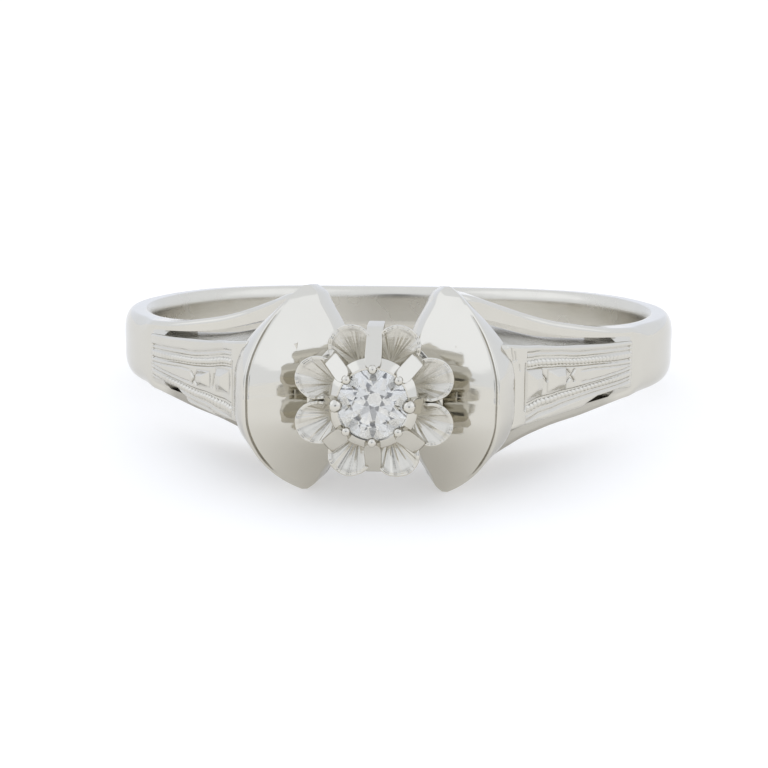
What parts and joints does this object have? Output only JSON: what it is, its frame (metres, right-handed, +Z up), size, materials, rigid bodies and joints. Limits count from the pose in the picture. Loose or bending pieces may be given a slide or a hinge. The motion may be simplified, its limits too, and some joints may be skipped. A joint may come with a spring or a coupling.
{
  "type": "diamond ring",
  "caption": "Solitaire finger ring with split engraved shoulders, two folded wings and a flower head that holds a round brilliant; it lies on its side",
  "frame": {"origin": "middle of the part's box on the surface that it rests on", "axes": "head toward -Y, back of the band toward +Y, +Z up; the finger axis leans from +Z toward +Y by the resting tilt"},
  "size_m": [0.0192, 0.0246, 0.0057],
  "materials": {
    "white_gold": "polished white gold",
    "diamond": "cut and polished"
  },
  "bodies": {
    "root": {"mounting": "white_gold", "diamond": "diamond"}
  },
  "joints": []
}
